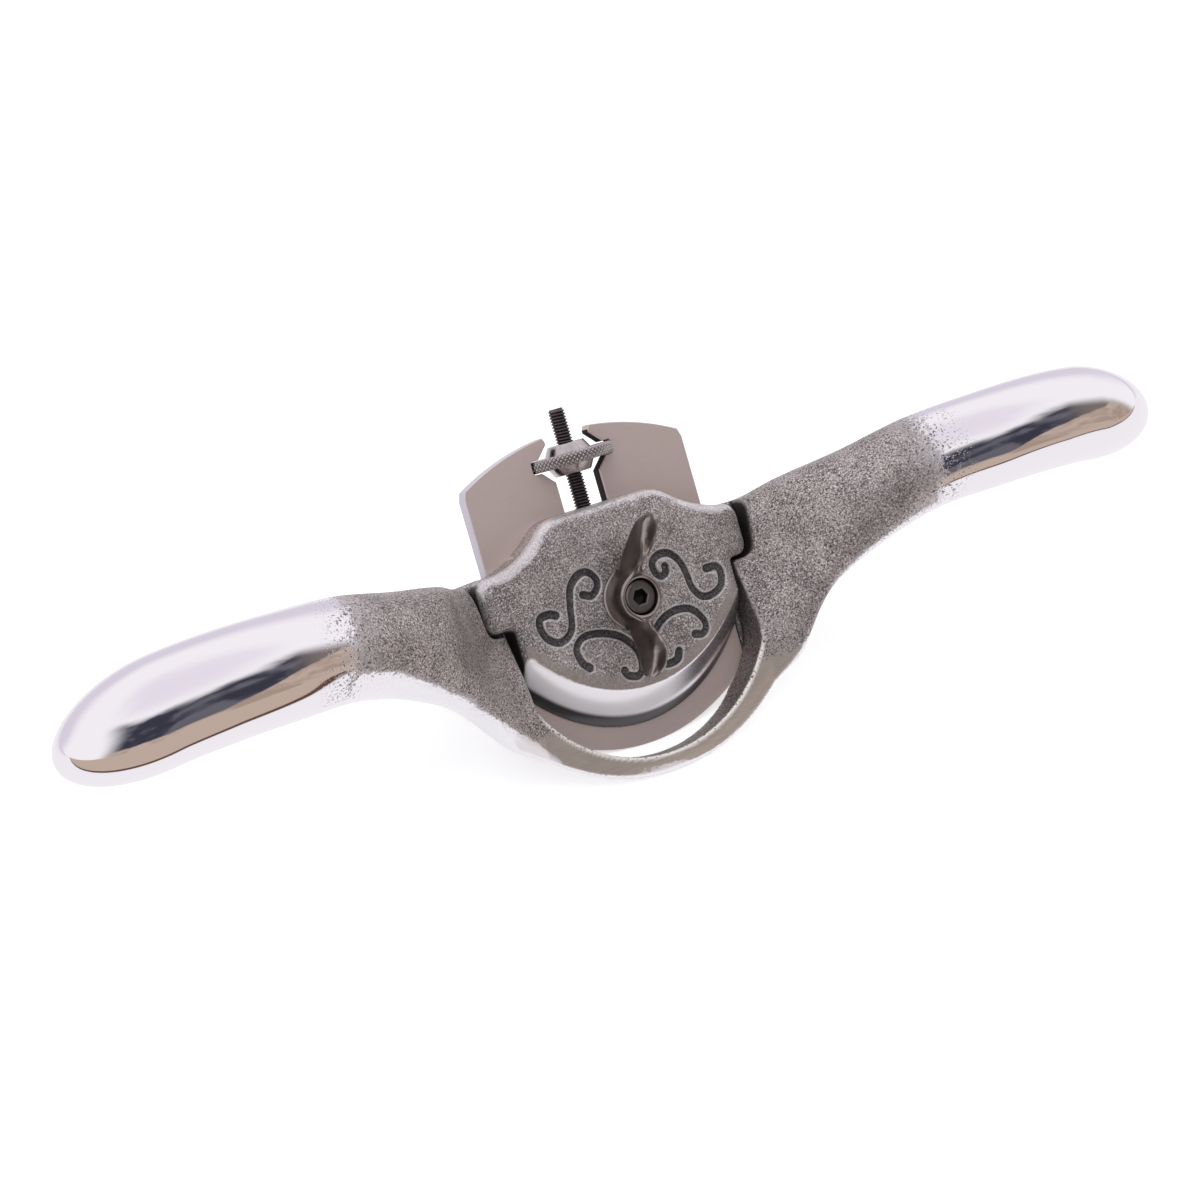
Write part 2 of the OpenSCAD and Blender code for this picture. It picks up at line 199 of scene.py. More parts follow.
def level_surface(field, xs, us, vs, curve_step):
    """Closed surface where field(x, u, v) is 0, negative inside.

    Every grid edge that the surface crosses gives one four-cornered face between the four cells round it.
    A cell's point starts at the mean of the crossings on its edges, and three Newton steps
    p - F grad F / |grad F|^2 bring it onto the surface. Returns points, faces, normals and curvature.
    """
    value = field(xs[:, None, None], us[None, :, None], vs[None, None, :])
    inside, lines, shape = value < 0, (xs, us, vs), value.shape
    rings, crossings = [], []
    for axis in range(3):
        lower, upper = [slice(None)] * 3, [slice(None)] * 3
        lower[axis], upper[axis] = slice(0, -1), slice(1, None)
        low = np.argwhere(inside[tuple(lower)] != inside[tuple(upper)])
        high = low.copy()
        high[:, axis] += 1
        a, b = value[tuple(low.T)], value[tuple(high.T)]
        crossing = np.stack([lines[k][low[:, k]] for k in range(3)], axis=1)
        crossing[:, axis] += a / (a - b) * (lines[axis][high[:, axis]] - lines[axis][low[:, axis]])
        ring = []
        for back in ((0, 0), (1, 0), (1, 1), (0, 1)):
            cell = low.copy()
            cell[:, (axis + 1) % 3] -= back[0]
            cell[:, (axis + 2) % 3] -= back[1]
            ring.append(np.ravel_multi_index(tuple(cell.T), shape))
        ring = np.stack(ring, axis=1)
        ring[a >= 0] = ring[a >= 0][:, ::-1]
        rings.append(ring)
        crossings.append(np.repeat(crossing, 4, axis=0))
    cells, faces = np.unique(np.concatenate(rings), return_inverse=True)
    faces = faces.reshape(-1, 4)
    # Each face lists its crossing once for each of its four cells
    owner, spots = faces.reshape(-1), np.concatenate(crossings)
    counts = np.bincount(owner, minlength=len(cells))
    points = np.stack([np.bincount(owner, spots[:, k], len(cells)) / counts for k in range(3)], axis=1)
    for _ in range(3):
        here, slope, bend = gradient_of(field, points, 0.03)
        move = here / np.maximum((slope ** 2).sum(axis=1), 0.05)
        points -= np.clip(move, -0.4, 0.4)[:, None] * slope
    slope = gradient_of(field, points, 0.06)[1]
    normals = slope / np.linalg.norm(slope, axis=1, keepdims=True)
    here, slope, bend = gradient_of(field, points, curve_step)
    return points, faces, normals, bend / np.maximum(np.linalg.norm(slope, axis=1), 0.3)


def add_mask(mesh, name, values, domain="POINT"):
    """Keeps one number for each point or face of a mesh, for its material to read."""
    attribute = mesh.attributes.new(name, "FLOAT", domain)
    attribute.data.foreach_set("value", np.asarray(values, np.float32))


def new_object(name, data):
    """Object with this data, linked to the scene."""
    made = bpy.data.objects.new(name, data)
    bpy.context.scene.collection.objects.link(made)
    return made


def make_piece(name, body, node, material, points, quads, polygons=(), normals=None, masks=None, corner=None):
    """Piece of bed points that rides on a body and replaces a CAD node. Returns its mesh.

    Given normals are kept on the corners, and otherwise edges sharper than corner, in degrees, stay sharp.
    """
    mesh = bpy.data.meshes.new(name)
    faces = quads.tolist() + [list(p) for p in polygons]
    mesh.from_pydata(from_bed(points).tolist(), [], faces)
    mesh.shade_smooth()
    if corner:
        mesh.set_sharp_from_angle(angle=math.radians(corner))
    if normals is not None:
        turned = from_bed(normals) / MM
        mesh.normals_split_custom_set_from_vertices(turned.tolist())
    for mask, values in (masks or {}).items():
        add_mask(mesh, mask, values)
    piece = new_object(name, mesh)
    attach(piece, body)
    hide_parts(node)
    mesh.materials.append(material)
    return mesh


def ring_faces(count, size, closed=False, flip=False):
    """Faces between count rings of size points each, the last joined to the first if closed."""
    last = count if closed else count - 1
    row, column = np.meshgrid(np.arange(last), np.arange(size), indexing="ij")
    row_on, column_on = (row + 1) % count, (column + 1) % size
    ring = [row * size + column, row * size + column_on, row_on * size + column_on, row_on * size + column]
    faces = np.stack([r.reshape(-1) for r in ring], axis=1)
    return faces[:, ::-1] if flip else faces


def distance_map(distance, a_line, b_line):
    """A field of two parameters worked out on a grid once, then read off between its points."""
    table = distance(a_line[:, None], b_line[None, :])

    def read(a, b):
        """Value between the four grid points round a place."""
        i = np.clip((a - a_line[0]) / (a_line[1] - a_line[0]), 0, len(a_line) - 1.001)
        j = np.clip((b - b_line[0]) / (b_line[1] - b_line[0]), 0, len(b_line) - 1.001)
        i0, j0 = i.astype(int), j.astype(int)
        fi, fj = i - i0, j - j0
        low = table[i0, j0] * (1 - fj) + table[i0, j0 + 1] * fj
        high = table[i0 + 1, j0] * (1 - fj) + table[i0 + 1, j0 + 1] * fj
        return low * (1 - fi) + high * fi

    return read


# Shape of the casting

def station_values(distance):
    """Sections of the casting by distance from its middle: cubic Hermite curves through the stations."""
    places = STATIONS[:, 0]
    slopes = np.empty_like(STATIONS)
    slopes[1:-1] = (STATIONS[2:] - STATIONS[:-2]) / (places[2:] - places[:-2])[:, None]
    slopes[-1] = (STATIONS[-1] - STATIONS[-2]) / (places[-1] - places[-2])
    d = np.clip(distance, places[1], places[-1])
    k = np.clip(np.searchsorted(places, d, side="right") - 1, 1, len(places) - 2)
    span = places[k + 1] - places[k]
    t = (d - places[k]) / span
    rise = 3 * t ** 2 - 2 * t ** 3
    leave, arrive = span * (t ** 3 - 2 * t ** 2 + t), span * (t ** 3 - t ** 2)
    return [(1 - rise) * STATIONS[k, c] + rise * STATIONS[k + 1, c]
            + leave * slopes[k, c] + arrive * slopes[k + 1, c] for c in range(1, 6)]


def handle_field(x, u, v):
    """Superellipse sections along the stations, closed by a rounded end: (A^n + B^n)^(2/n) + T^2 = 1."""
    ax = np.abs(x)
    up, out, high, deep, power = station_values(ax)
    a = np.abs(u - up) / high
    b = np.abs(v - out) / deep
    g = np.maximum((a ** power + b ** power) ** (1 / power), 1e-3)
    slope = g ** (1 - power) * np.hypot(a ** (power - 1) / high, b ** (power - 1) / deep)
    end = np.maximum(ax - HALF_LENGTH + GRIP_END, 0) / GRIP_END
    whole = np.hypot(g, end)
    return (whole - 1) / np.maximum(np.hypot(slope * g, end / GRIP_END) / whole, 0.04) + GRIP_INSET


def sole_field(x, z):
    """Cylinder of the sole, carried on by tangent flats past 32 degrees and eased away under the arms."""
    ax, height = np.abs(x), SOLE_RADIUS - z
    flat = ax * math.sin(SOLE_TURN) + height * math.cos(SOLE_TURN)
    beyond = ax * math.cos(SOLE_TURN) > height * math.sin(SOLE_TURN)
    distance = np.where(beyond, flat, np.hypot(ax, height)) - SOLE_RADIUS
    return distance - SOLE_EASE * np.maximum(ax - SOLE_RELEASE, 0) ** 2


def toe_field(x, y, z):
    """Block over the sole that is rounded off in plan."""
    ax = np.abs(x)
    plan = np.hypot(x, y - TOE_PLAN_CENTRE) - TOE_PLAN_RADIUS
    side = round_max(ax - TOE_HALF, np.maximum(z - TOE_TOP, y - TOE_BACK), 2)
    return round_max(plan, side, 3)


def face_field(x, u, v):
    """Front face: a plane over the toe and cheeks, dished beside the notches and rising into each arm."""
    beyond = np.maximum(np.abs(x) - CHEEK_HALF, 0)
    level = round_min(SADDLE_HEIGHT + SADDLE_RISE * np.maximum(SADDLE_FOOT - u, 0), FACE_HEIGHT, 2)
    return v - level - ARM_RISE * beyond - ARM_CURVE * beyond ** 2


def bed_cut_field(x, u, v):
    """What is cut away above the bed: the iron's channel, the throat and the notches for the tabs."""
    ax = np.abs(x)
    channel = np.maximum(np.maximum(ax - CHANNEL_HALF, v - CHANNEL_TOP), -IRON_THICKNESS - v)
    round_throat = np.hypot(x, u - THROAT_FOOT - THROAT_RADIUS) - THROAT_RADIUS
    throat = round_max(np.minimum(round_throat, THROAT_RADIUS - u), ax - CHEEK_HALF, 1.5)
    notch = round_max(ax - NOTCH_HALF - NOTCH_FLARE * (u - NOTCH_FLOOR), NOTCH_FLOOR - u, 3)
    shelf = round_max(notch, -SHELF_DEPTH - v, 0.8)
    return np.minimum(round_min(round_max(throat, -v, 0.5), shelf, 1.2), channel)


def casting_field(x, u, v):
    """The whole casting: handles and toe joined, trimmed to the sole, then cut."""
    ax, y, z = np.abs(x), LEAN * (u - v), LEAN * (u + v)
    solid = round_min(handle_field(x, u, v), toe_field(x, y, z), 0.5 + 7 * smooth_step(ax, 29, 38))
    solid = round_max(solid, sole_field(x, z), 1.2)
    solid = round_max(solid, face_field(x, u, v), 3.4 + 2.4 * smooth_step(ax, 29, 37))
    solid = round_max(solid, -bed_cut_field(x, u, v), 0.7)
    boss = np.maximum(ax - BOSS_HALF, np.maximum(BOSS_LOW - u, u - BOSS_HIGH))
    boss = round_max(boss, np.maximum(BOSS_BACK - v, v - BOSS_FRONT), 0.6)
    solid = np.minimum(solid, boss)
    bore = np.maximum(np.hypot(x, u - CLAMP_UP) - BORE_RADIUS, v)
    return round_max(solid, -bore, 0.5)


def make_casting(material):
    """One iron casting: block, toe, throat, cheeks and both handles."""
    half = graded([0, 44, 52, 112, 126, 132.6], [0.5, 0.5, 1.15, 1.15, 0.6, 0.5])
    xs = np.concatenate([-half[:0:-1], half])
    us = graded([-11, 44, 54], [0.55, 0.55, 0.75])
    vs = graded([-13.3, 12, 18, 39], [0.5, 0.5, 0.85, 0.85])
    points, faces, normals, curve = level_surface(casting_field, xs, us, vs, 0.6)
    x, u, v = points.T
    ax, z = np.abs(x), LEAN * (u + v)
    n_up, n_out = normals[:, 1], normals[:, 2]
    underside = np.maximum(-n_up * (ax > 34), -LEAN * (n_up + n_out))
    cut = bed_cut_field(x, u, v)
    rim = smooth_step(-n_up - 0.11 * smooth_step(x, -6, 18), 0.14, 0.4)
    rim = rim * smooth_step(cut, 0.8, 2.5) * smooth_step(-ax, -42, -30) * (v < 14)
    strip = smooth_step(np.interp(ax, STRIP_OUT, STRIP_UP) - u - STRIP_DROP * (x > 0), -2.2, 1.8)
    strip = 0.9 * strip * (v > 2) * smooth_step(ax, 23, 25)
    left = LEFT_GRIP + LEFT_LEAN * (u - GRIP_HEIGHT)
    right = RIGHT_GRIP + RIGHT_LEAN * (u - GRIP_HEIGHT)
    on_face = smooth_step(n_out, 0.8, 0.92) * (v > 5) * (ax < TOE_HALF)
    lip = smooth_step(-np.abs(cut - 0.3), -0.75, -0.25) * smooth_step(face_field(x, u, v), -0.8, -0.35)
    walls = smooth_step(cut, 0.5, 0.2) * (np.abs(n_out) < 0.7) * (v > -1)
    polished = [smooth_step(ax - np.where(x < 0, left, right), -13, 13), smooth_step(underside, 0.5, 1.0),
                smooth_step(sole_field(x, z), -0.5, -0.2), rim, strip * smooth_step(-ax, -80, -71)]
    masks = {
        "polish": np.max(polished, axis=0),
        "ground": on_face * smooth_step(-u, -14, -7),
        "shade": walls * np.where((u > 31) & (ax > CHEEK_HALF), smooth_step(-v, -7, -4.6), 0.5),
        # Softer polish on the outer rims and the left arm's lower strip; its near-white colour is a painted
        # reflection
        "satin_and_painted_reflection": np.maximum(rim, strip * smooth_step(-ax, -70, -58)),
        "lip": lip * (v > 5) * smooth_step(-u, -16, -11),
        "edge": smooth_step(curve, 0.4, 1.3),
        # Concave creases, which the material darkens as painted shade
        "painted_crease_shade": smooth_step(-curve, 0.25, 1.0),
    }
    make_piece("cast_body", "frame_body", "casting", material, points, faces, normals=normals, masks=masks)


# Shape of the lever cap

def smooth_path(knots, steps=7):
    """Catmull-Rom curve through points whose last column is a half width."""
    knots = np.array(knots, float)
    padded = np.concatenate([2 * knots[:1] - knots[1:2], knots, 2 * knots[-1:] - knots[-2:-1]])
    t = (np.arange(steps) / steps)[None, :, None]
    a, b, c, d = (padded[k:len(padded) - 3 + k, None, :] for k in range(4))
    curve = 2 * b + (c - a) * t + (2 * a - 5 * b + 4 * c - d) * t ** 2 + (3 * b - a - 3 * c + d) * t ** 3
    return np.concatenate([0.5 * curve.reshape(-1, knots.shape[1]), knots[-1:]])


# Scrolls cut into the cap: points across and up the bed, with half widths
SCROLLS = [smooth_path(knots) for knots in (
    [(-10.3, 34.9, 0.9), (-8.4, 34.2, 0.85), (-6.7, 35.4, 0.8), (-6.4, 37.3, 0.8),
     (-8.1, 39.2, 0.85), (-10.5, 39.0, 0.9), (-12.7, 37.1, 0.85), (-13.9, 33.4, 0.8),
     (-14.7, 29.6, 0.8), (-16.1, 27.7, 0.85), (-18.6, 27.0, 0.85), (-21.0, 28.6, 0.85),
     (-21.9, 31.2, 0.85), (-21.2, 33.0, 0.9), (-19.1, 33.2, 0.9), (-17.7, 32.6, 0.95)],
    [(10.2, 35.3, 0.9), (10.0, 34.0, 0.85), (8.6, 33.5, 0.8), (7.4, 34.9, 0.8),
     (7.5, 36.8, 0.85), (9.4, 38.0, 0.9), (12.0, 37.6, 0.85), (13.9, 35.3, 0.8),
     (14.7, 32.4, 0.8), (15.1, 29.3, 0.8), (16.7, 26.9, 0.85), (19.2, 26.4, 0.85),
     (22.0, 27.6, 0.85), (22.9, 30.3, 0.9), (22.1, 31.9, 0.9), (19.7, 32.1, 0.95)],
    [(-13.4, 20.0, 0.95), (-14.8, 21.6, 0.85), (-15.2, 24.6, 0.8), (-12.9, 26.5, 0.8),
     (-9.1, 26.2, 0.85), (-5.0, 24.5, 0.85), (-2.5, 22.0, 0.85), (-1.4, 19.3, 0.8),
     (-1.7, 16.4, 0.8), (-3.1, 15.2, 0.85), (-5.2, 15.9, 0.9), (-5.8, 17.1, 0.95)],
    [(12.8, 19.6, 0.95), (14.6, 19.2, 0.85), (15.8, 20.3, 0.8), (15.5, 22.4, 0.8),
     (13.3, 25.0, 0.85), (9.4, 25.7, 0.85), (5.6, 24.5, 0.85), (3.0, 22.0, 0.8),
     (2.2, 19.0, 0.8), (2.6, 16.6, 0.8), (4.4, 15.5, 0.85), (7.0, 15.8, 0.9), (7.9, 17.3, 0.95)],
)]


def span_reach(start, end, a, b):
    """For each span, t = (p - s).(e - s) / |e - s|^2 held in 0 to 1, and its distance from p = (a, b)."""
    gap, along = np.stack(np.broadcast_arrays(a, b), axis=-1)[..., None, :] - start, end - start
    t = np.clip((gap * along).sum(axis=-1) / np.maximum((along ** 2).sum(axis=-1), 1e-9), 0, 1)
    return t, np.sqrt(((gap - t[..., None] * along) ** 2).sum(axis=-1))


def nearest_scroll(x, u):
    """Distance from the nearest scroll's edge: the least over its spans of distance less half width."""
    distances = []
    for line in SCROLLS:
        t, reach = span_reach(line[:-1, :2], line[1:, :2], x, u)
        distances.append((reach - line[:-1, 2] - t * np.diff(line[:, 2])).min(axis=-1))
    return np.min(distances, axis=0)


scroll_distance = distance_map(nearest_scroll, np.arange(-35, 35.2, 0.2), np.arange(-3, 55, 0.2))


def cap_top(ax, u):
    """Height of the cap's face: level in the middle, falling towards the tabs and the peak."""
    return CAP_HEIGHT - TAB_DROP * smooth_step(ax, 24, 33) - PEAK_DROP * smooth_step(u, 44, 53)


def nose_field(x, u, v):
    """Cap's front: an upright cylinder that leans back a little towards the face."""
    y = LEAN * (u - v)
    lean = CAP_NOSE_CROWN * np.maximum(v - CROWN_FOOT, 0) ** 2
    return np.hypot(x, y - CAP_NOSE_CENTRE) - CAP_NOSE_RADIUS + lean


def cap_field(x, u, v):
    """Cap: the outline under a soft-edged face, its front an upright cylinder, with scrolls cut in."""
    ax = np.abs(x)
    tab = round_max(ax - TAB_HALF, TAB_FOOT - u, 2.6)
    plan = round_min(ax - CAP_HALF, tab, 1.6)
    ogee = OGEE_RADIUS - np.hypot(ax - TAB_HALF, u - TAB_TOP - OGEE_RADIUS)
    plan = round_max(plan, round_max(ogee, u - CAP_PEAK, 2.5), 3.4)
    face = v - cap_top(ax, u)
    solid = round_max(plan, face, 2.4)
    solid = round_max(solid, nose_field(x, u, v), 0.6)
    solid = round_max(solid, -v, 0.5)
    hollow = round_max(ax - HOLLOW_HALF, np.maximum(HOLLOW_LOW - u, u - HOLLOW_HIGH), 2)
    solid = round_max(solid, -round_max(hollow, v - HOLLOW_DEPTH, 1.5), 0.6)
    solid = round_max(solid, CLAMP_HOLE_RADIUS - np.hypot(x, u - CLAMP_UP), 0.4)
    stud_way = np.maximum(np.maximum(ax - STUD_WAY_HALF, TAB_TOP - u), v - STUD_WAY_DEPTH)
    solid = round_max(solid, -stud_way, 0.4)
    groove = np.hypot(np.maximum(scroll_distance(x, u) + GROOVE_DEPTH, 0), face) - GROOVE_DEPTH
    return round_max(solid, -groove, 0.3)


def make_cap(material):
    """Lever cap with its scroll ornament."""
    xs = np.arange(-33.15, 33.3, 0.3)
    us = np.arange(-1.15, 53.3, 0.3)
    vs = np.arange(-0.75, 8.4, 0.3)
    points, faces, normals, curve = level_surface(cap_field, xs, us, vs, 0.3)
    x, u, v = points.T
    nose, below = nose_field(x, u, v), cap_top(np.abs(x), u) - v
    scroll = scroll_distance(x, u)
    on_nose = smooth_step(nose, -0.6, -0.3) * (normals[:, 2] < 0.9)
    rounded = smooth_step(below, 0.6, 1.5) * (normals[:, 2] > 0.1)
    rounded = np.maximum(rounded, smooth_step(curve, 0.3, 0.55)) * (u > 36) * (scroll > 0.5)
    side = smooth_step(np.abs(normals[:, 0]), 0.5, 0.8) * (u < 47) * (1 - on_nose)
    masks = {
        # Polished front wall, painted near-white as a reflection where it is little metallic; foot marks a
        # painted dark reflection along its bottom
        "polish": on_nose,
        "foot": on_nose * smooth_step(v, 3.1, 2.2),
        "mirror": on_nose * smooth_step(x, 3, 13),
        "ground": smooth_step(nose, -2.6, -1.4) * (below < 0.6),
        # Worn rounded rims, made brighter towards the left shoulder as a painted highlight
        "rounded": rounded * (0.76 + 0.24 * smooth_step(-x, 8, 20)),
        "groove": (scroll < 0.15) * (below < 1.2) * smooth_step(below, 0.1, 0.5),
        "edge": smooth_step(curve, 0.3, 1.3),
        # Concave creases, which the material darkens as painted shade
        "painted_crease_shade": smooth_step(-curve, 0.3, 1.3),
        "shade": side * smooth_step(below, 1.2, 2.2),
    }
    make_piece("scroll_cap", "cap", "lever_cap", material, points, faces, normals=normals, masks=masks)


# Shape of the thumb lever

# Side view of an ear: distance out from the hub's axis, height above the cap
EAR_SIDE = smooth_path([(2.0, 1.0), (5.2, 0.7), (8.2, 1.2), (10.9, 1.9), (13.5, 3.0), (15.5, 4.9),
                        (16.3, 7.5), (16.2, 9.8), (15.3, 11.2), (13.4, 11.6), (10.8, 11.4), (8.5, 10.2),
                        (6.7, 7.7), (4.7, 5.2), (2.2, 4.2)], 6)


def ear_side(a, b):
    """Distance from an ear's side outline, negative inside by the even-odd rule."""
    start, end = EAR_SIDE, np.roll(EAR_SIDE, -1, axis=0)
    along, out, high = end - start, a[..., None], b[..., None]
    reach = span_reach(start, end, a, b)[1].min(axis=-1)
    level = np.where(along[:, 1] == 0, 1e-9, along[:, 1])
    at = start[:, 0] + (high - start[:, 1]) * along[:, 0] / level
    crossed = ((start[:, 1] > high) != (end[:, 1] > high)) & (out < at)
    return np.where(crossed.sum(axis=-1) % 2 == 1, -reach, reach)


ear_distance = distance_map(ear_side, np.arange(0, 18.5, 0.1), np.arange(-3.5, 13, 0.1))


def lever_field(x, u, v):
    """Flared hub with a counterbore, and two ears bent the opposite way on arcs of one radius."""
    across, h = u - CLAMP_UP, v - CAP_HEIGHT
    r = np.hypot(x, across)
    flare = (1 - np.clip((h - HUB_STEP) / HUB_FLARE, 0, 1)) ** 2
    hub = r - HUB_RADIUS - (HUB_FOOT_RADIUS - HUB_RADIUS) * flare
    hub = round_max(hub, np.maximum(h - HUB_HEIGHT, 0.02 - h), 0.6)
    spigot = np.maximum(r - SPIGOT_RADIUS, np.maximum(h - HUB_STEP, -SPIGOT_DEPTH - h))
    bent = np.hypot(np.where(across >= 0, x, -x) - EAR_BEND, across) - EAR_BEND
    root = smooth_step(-h, -7.5, -1) * smooth_step(-r, -13, -6)
    pad = smooth_step(h, 6, 11.5) * smooth_step(r, 7, 12)
    thickness = EAR_HALF + 1.7 * root + 0.9 * pad
    ear = round_max(np.abs(bent) - thickness, ear_distance(np.abs(across), h), 1.5)
    lever = np.minimum(round_min(hub, ear, 1.6), spigot)
    counterbore = np.maximum(r - COUNTERBORE_RADIUS, SCREW_SEAT - CAP_HEIGHT - h)
    lever = round_max(lever, -counterbore, 0.5)
    return np.maximum(lever, LEVER_BORE_RADIUS - r)


def make_lever(material):
    """Two-eared thumb lever."""
    xs = np.arange(-8.45, 8.6, 0.21)
    us = np.arange(CLAMP_UP - 17.1, CLAMP_UP + 17.2, 0.21)
    vs = np.arange(4.9, 19.5, 0.21)
    points, faces, normals, curve = level_surface(lever_field, xs, us, vs, 0.3)
    # The material darkens concave creases as painted shade
    masks = {"edge": smooth_step(curve, 0.4, 1.6), "painted_crease_shade": smooth_step(-curve, 0.3, 1.2)}
    make_piece("eared_lever", "lever", "thumb_lever", material, points, faces, normals=normals, masks=masks)


# Shape of the iron

def bevel_foot(x, v):
    """Place up the bed where the ground bevel lies at depth v: u sin b + v cos b = R - sqrt(R^2 - x^2)."""
    sagitta = IRON_BEVEL_RADIUS - np.sqrt(IRON_BEVEL_RADIUS ** 2 - x ** 2)
    return (sagitta - v * math.cos(IRON_BEVEL)) / math.sin(IRON_BEVEL)


def iron_outline():
    """Outline of the iron from its lower left corner: edge, side, arched top, notch for the nut, slot."""
    edge = np.linspace(-IRON_HALF, IRON_HALF, 61)
    side = np.linspace(12, IRON_CORNER - 1.5, 12)
    top_x = np.linspace(IRON_HALF - 0.6, SLOT_HALF + 0.5, 26)
    top = np.stack([top_x, IRON_TOP_CENTRE + np.sqrt(IRON_TOP_RADIUS ** 2 - top_x ** 2)], axis=1)
    notch = [(SLOT_HALF, NOTCH_MOUTH), (SLOT_HALF, SLIT_HIGH + SLIT_FLARE), (SLIT_CORNER, SLIT_HIGH),
             (SLIT_HALF - SLIT_BREAK, SLIT_HIGH), (SLIT_HALF, SLIT_HIGH - SLIT_BREAK),
             (SLIT_HALF, SLIT_LOW + SLIT_BREAK), (SLIT_HALF - SLIT_BREAK, SLIT_LOW),
             (SLIT_CORNER, SLIT_LOW), (SLOT_HALF, SLIT_LOW - SLIT_FLARE), (SLOT_HALF, SLOT_MIDDLE)]
    turn = np.linspace(0, math.pi, 25)
    foot = np.stack([SLOT_HALF * np.cos(turn), SLOT_CENTRE - SLOT_HALF * np.sin(turn)], axis=1)
    right = np.concatenate([np.stack([np.full(12, IRON_HALF), side], axis=1), top, notch])
    left = right[::-1] * (-1, 1)
    return edge, np.concatenate([right, foot, left])


def make_iron(material):
    """Iron: its outline carried through the thickness, with a small broken edge and the ground bevel."""
    edge, rest = iron_outline()
    along = np.roll(rest, -1, axis=0) - np.roll(rest, 1, axis=0)
    along /= np.linalg.norm(along, axis=1, keepdims=True)
    inward = np.stack([-along[:, 1], along[:, 0]], axis=1)
    inward[0], inward[-1] = (-1, 0), (1, 0)
    broken = 0.18
    rings = []
    for v, inset in ((0, broken), (-broken, 0), (broken - IRON_THICKNESS, 0), (-IRON_THICKNESS, broken)):
        lower = np.stack([edge * (1 - inset / IRON_HALF), bevel_foot(edge, v)], axis=1)
        outline = np.concatenate([lower, rest + inset * inward])
        rings.append(np.column_stack([outline, np.full(len(outline), v)]))
    size = len(rings[0])
    quads = ring_faces(4, size, flip=True)
    front, back = list(range(size)), list(range(4 * size - 1, 3 * size - 1, -1))
    mesh = make_piece("cutter_blade", "cutter", "iron", material, np.concatenate(rings), quads, (front, back),
                      corner=20)
    around = np.tile(np.arange(size), 3)
    in_slot = (np.abs(rings[1][around, 0]) < SLIT_HALF + 0.2) & (rings[1][around, 1] < NOTCH_MOUTH + 0.2)
    # Walls of the slot and its slit, which the material darkens as painted shade
    walls = in_slot & (around >= len(edge)) & (np.repeat(np.arange(3), size) == 1)
    sides = (around >= len(edge)) & (np.abs(rings[1][around, 0]) > SLOT_HALF + 5)
    add_mask(mesh, "wall", np.append(walls, [0, 0]), "FACE")
    add_mask(mesh, "side", np.append(sides, [0, 0]), "FACE")


# Turned and threaded pieces

def full_turn(sides):
    """Angles of a ring's points, as one row."""
    return np.linspace(0, 2 * math.pi, sides, endpoint=False)[None, :]


def threaded_rod(radius, pitch, depth, start, end, sides):
    """Rings of a rod along w: radius minus depth times a rounded wave of (w / pitch - angle / 2 pi).

    Chamfers take the radius down over one pitch at each end. Returns angles, radii, places w and the wave.
    """
    rings_per_turn = 7
    w = np.linspace(start, end, int((end - start) / pitch * rings_per_turn) + 1)[:, None]
    angle = full_turn(sides)
    wave = 0.5 + 0.5 * np.cos(2 * math.pi * w / pitch - angle)
    chamfer = np.maximum(np.maximum(start + pitch - w, w - end + pitch), 0) * 0.6
    r = np.minimum(radius - depth * (1 - wave) ** 1.4, radius - chamfer)
    return angle, r, np.broadcast_to(w, r.shape), wave.reshape(-1)


def along_bed(angle, r, w):
    """Rings of a turned piece whose axis runs up the bed on the stud's line."""
    return np.stack([r * np.cos(angle), w, STUD_OUT + r * np.sin(angle)], axis=-1).reshape(-1, 3)


def off_bed(angle, r, w):
    """Rings of a turned piece whose axis stands on the bed at the clamp."""
    return np.stack([r * np.cos(angle), CLAMP_UP + r * np.sin(angle), w], axis=-1).reshape(-1, 3)


def end_caps(count, size):
    """Flat faces over the first and the last ring."""
    return list(range(size))[::-1], list(range((count - 1) * size, count * size))


def make_stud(material):
    """Threaded stud behind the iron."""
    angle, r, w, wave = threaded_rod(STUD_RADIUS, STUD_PITCH, STUD_THREAD, STUD_FOOT, STUD_TOP, 48)
    worn_end = smooth_step(w.reshape(-1), STUD_TOP - 1.2, STUD_TOP - 0.2)
    ends = [end[::-1] for end in end_caps(*r.shape)]
    make_piece("threaded_stud", "frame_body", "adjuster_stud", material, along_bed(angle, r, w),
               ring_faces(*r.shape, flip=True), ends, masks={"crest": np.maximum(wave ** 2, worn_end)})


def make_spindle(material):
    """Threaded spindle that joins the lever to the bed."""
    angle, r, w, wave = threaded_rod(SPINDLE_RADIUS, SPINDLE_PITCH, SPINDLE_THREAD, SPINDLE_FOOT,
                                     SPINDLE_TOP, 64)
    make_piece("spindle_thread", "lever", "clamp_spindle", material, off_bed(angle, r, w),
               ring_faces(*r.shape), end_caps(*r.shape), masks={"crest": wave ** 2})


